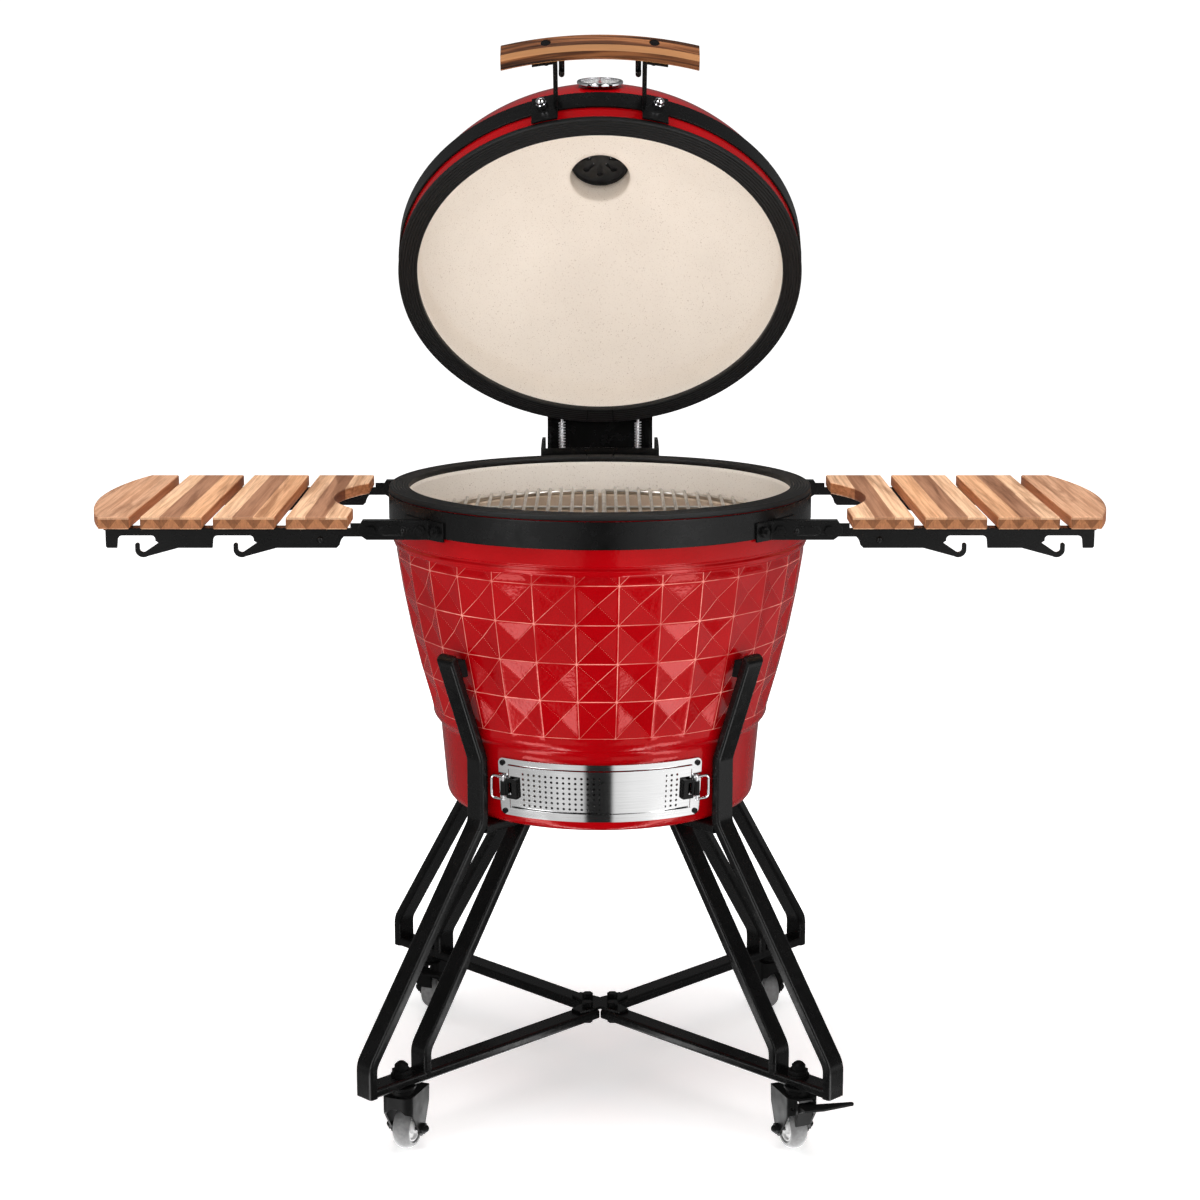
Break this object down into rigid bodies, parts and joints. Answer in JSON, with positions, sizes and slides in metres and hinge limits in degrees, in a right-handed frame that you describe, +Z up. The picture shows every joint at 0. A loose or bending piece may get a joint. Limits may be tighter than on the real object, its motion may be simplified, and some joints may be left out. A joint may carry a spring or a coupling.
{
  "type": "kamado charcoal grill",
  "caption": "Ceramic kamado charcoal grill with hinged lid, half-moon grates, ash drawer with draft damper and folding wooden side shelves, on a steel stand with swivel casters.",
  "frame": {"origin": "on the floor, under the upright axis of the round bowl", "axes": "+Z up; -Y toward the front, where the ash drawer and the lid handle are; +X to the right seen from the front"},
  "size_m": [1.4178, 0.8107, 1.5159],
  "materials": {
    "red_glaze": "glossy red glaze outside, cream unglazed inside",
    "refractory": "unglazed cream fire clay",
    "gasket_felt": "ribbed charcoal felt",
    "black_steel": "satin black powder coat",
    "black_hardware": "black oxide",
    "spring_steel": "bright spring wire",
    "cast_iron": "matt black enamel",
    "grate_steel": "drawn stainless rod",
    "stainless": "brushed sheet",
    "chrome": "polished",
    "shelf_wood": "oiled strips of light and dark wood",
    "handle_wood": "oiled walnut-brown hardwood",
    "clear_glass": "clear",
    "needle_red": "matt red",
    "wheel_rubber": "grey non-marking tread"
  },
  "bodies": {
    "stand": {"base_shell": "red_glaze", "base_gasket": "gasket_felt", "base_band": "black_steel", "base_hinge_bracket": "black_steel", "hinge_pin": "black_steel", "hinge_torsion_springs": "spring_steel", "fire_box": "refractory", "fire_ring": "refractory", "charcoal_grate": "cast_iron", "draft_frame": "stainless", "draft_frame_screws": "black_hardware", "star_plates": "black_steel", "stand_bolts": "black_hardware", "leg_bumpers": "wheel_rubber", "shelf_brackets": "black_steel", "shelf_bracket_bolts": "black_hardware", "caster_stems": "black_hardware", "leg_rear_right": "black_steel", "leg_rear_left": "black_steel", "leg_front_left": "black_steel", "leg_front_right": "black_steel"},
    "lid": {"lid_shell": "red_glaze", "lid_gasket": "gasket_felt", "lid_band": "black_steel", "lid_hinge_bracket": "black_steel", "lid_springs": "spring_steel", "handle_bar": "handle_wood", "handle_brackets": "black_steel", "handle_fasteners": "chrome", "thermometer_case": "chrome", "thermometer_glass": "clear_glass", "chimney_collar": "cast_iron"},
    "needle": {"thermometer_needle": "needle_red"},
    "vent": {"vent_plate": "cast_iron"},
    "daisy": {"daisy_wheel": "cast_iron"},
    "grate_left": {"cooking_grate_left": "grate_steel"},
    "grate_right": {"cooking_grate_right": "grate_steel"},
    "drawer": {"ash_drawer": "stainless", "draft_screen": "stainless", "drawer_pull_brackets": "black_hardware"},
    "damper": {"draft_damper": "stainless"},
    "pull_left": {"drawer_pull_left": "chrome"},
    "pull_right": {"drawer_pull_right": "chrome"},
    "shelf_left": {"shelf_slats_left": "shelf_wood", "shelf_arms_left": "black_steel", "shelf_screws_left": "black_hardware"},
    "shelf_right": {"shelf_slats_right": "shelf_wood", "shelf_arms_right": "black_steel", "shelf_screws_right": "black_hardware"},
    "fork_rear_right": {"caster_fork_rear_right": "black_steel"},
    "wheel_rear_right": {"caster_wheel_rear_right": "wheel_rubber"},
    "fork_rear_left": {"caster_fork_rear_left": "black_steel"},
    "wheel_rear_left": {"caster_wheel_rear_left": "wheel_rubber"},
    "pedal_rear_left": {"brake_pedal_rear_left": "black_hardware"},
    "fork_front_left": {"caster_fork_front_left": "black_steel"},
    "wheel_front_left": {"caster_wheel_front_left": "wheel_rubber"},
    "fork_front_right": {"caster_fork_front_right": "black_steel"},
    "wheel_front_right": {"caster_wheel_front_right": "wheel_rubber"},
    "pedal_front_right": {"brake_pedal_front_right": "black_hardware"}
  },
  "joints": [
    {"name": "lid_hinge", "type": "hinge", "parent": "stand", "child": "lid", "pos_m": [0, 0.3826, 0.822], "axis": [-1, 0, 0], "range_deg": [-51.5, 3.5]},
    {"name": "needle_turn", "type": "hinge", "parent": "lid", "child": "needle", "pos_m": [0, 0.10964, 1.44904], "axis": [0, 0.1706, -0.9853], "range_deg": [0, 240]},
    {"name": "vent_swing", "type": "hinge", "parent": "lid", "child": "vent", "pos_m": [0, 0.46163, 1.29452], "axis": [0, 0.7826, 0.6225], "range_deg": [0, 80]},
    {"name": "daisy_turn", "type": "hinge", "parent": "vent", "child": "daisy", "pos_m": [0, 0.42851, 1.3474], "axis": [0, 0.7826, 0.6225], "range_deg": [0, 22.5]},
    {"name": "grate_left_lift", "type": "slide", "parent": "stand", "child": "grate_left", "axis": [0, 0, 1], "range_m": [0, 0.1]},
    {"name": "grate_right_lift", "type": "slide", "parent": "stand", "child": "grate_right", "axis": [0, 0, 1], "range_m": [0, 0.1]},
    {"name": "ash_drawer_slide", "type": "slide", "parent": "stand", "child": "drawer", "axis": [0, -1, 0], "range_m": [0, 0.2]},
    {"name": "damper_slide", "type": "hinge", "parent": "drawer", "child": "damper", "pos_m": [0, 0, 0.498], "axis": [0, 0, 1], "range_deg": [-28, 5]},
    {"name": "pull_right_swing", "type": "hinge", "parent": "drawer", "child": "pull_right", "pos_m": [0.1334, -0.19193, 0.498], "axis": [0, 0, -1], "range_deg": [0, 95]},
    {"name": "pull_left_swing", "type": "hinge", "parent": "drawer", "child": "pull_left", "pos_m": [-0.1334, -0.19193, 0.498], "axis": [0, 0, 1], "range_deg": [0, 95]},
    {"name": "shelf_left_fold", "type": "hinge", "parent": "stand", "child": "shelf_left", "pos_m": [-0.309, 0, 0.8575], "axis": [0, -1, 0], "range_deg": [0, 90]},
    {"name": "shelf_right_fold", "type": "hinge", "parent": "stand", "child": "shelf_right", "pos_m": [0.309, 0, 0.8575], "axis": [0, 1, 0], "range_deg": [0, 90]},
    {"name": "swivel_rear_right", "type": "hinge", "parent": "stand", "child": "fork_rear_right", "pos_m": [0.273, 0.273, 0.084], "axis": [0, 0, 1], "continuous": true},
    {"name": "roll_rear_right", "type": "hinge", "parent": "fork_rear_right", "child": "wheel_rear_right", "pos_m": [0.26684, 0.28991, 0.03], "axis": [0.9397, 0.342, 0], "continuous": true},
    {"name": "swivel_rear_left", "type": "hinge", "parent": "stand", "child": "fork_rear_left", "pos_m": [-0.273, 0.273, 0.084], "axis": [0, 0, 1], "continuous": true},
    {"name": "roll_rear_left", "type": "hinge", "parent": "fork_rear_left", "child": "wheel_rear_left", "pos_m": [-0.26684, 0.28991, 0.03], "axis": [0.9397, -0.342, 0], "continuous": true},
    {"name": "brake_rear_left", "type": "hinge", "parent": "fork_rear_left", "child": "pedal_rear_left", "pos_m": [-0.2795, 0.25515, 0.072], "axis": [0.9397, -0.342, 0], "range_deg": [0, 19]},
    {"name": "swivel_front_left", "type": "hinge", "parent": "stand", "child": "fork_front_left", "pos_m": [-0.273, -0.273, 0.084], "axis": [0, 0, 1], "continuous": true},
    {"name": "roll_front_left", "type": "hinge", "parent": "fork_front_left", "child": "wheel_front_left", "pos_m": [-0.26684, -0.25609, 0.03], "axis": [0.9397, -0.342, 0], "continuous": true},
    {"name": "swivel_front_right", "type": "hinge", "parent": "stand", "child": "fork_front_right", "pos_m": [0.273, -0.273, 0.084], "axis": [0, 0, 1], "continuous": true},
    {"name": "roll_front_right", "type": "hinge", "parent": "fork_front_right", "child": "wheel_front_right", "pos_m": [0.26684, -0.25609, 0.03], "axis": [0.9397, 0.342, 0], "continuous": true},
    {"name": "brake_front_right", "type": "hinge", "parent": "fork_front_right", "child": "pedal_front_right", "pos_m": [0.2795, -0.29085, 0.072], "axis": [0.9397, 0.342, 0], "range_deg": [0, 19]}
  ]
}
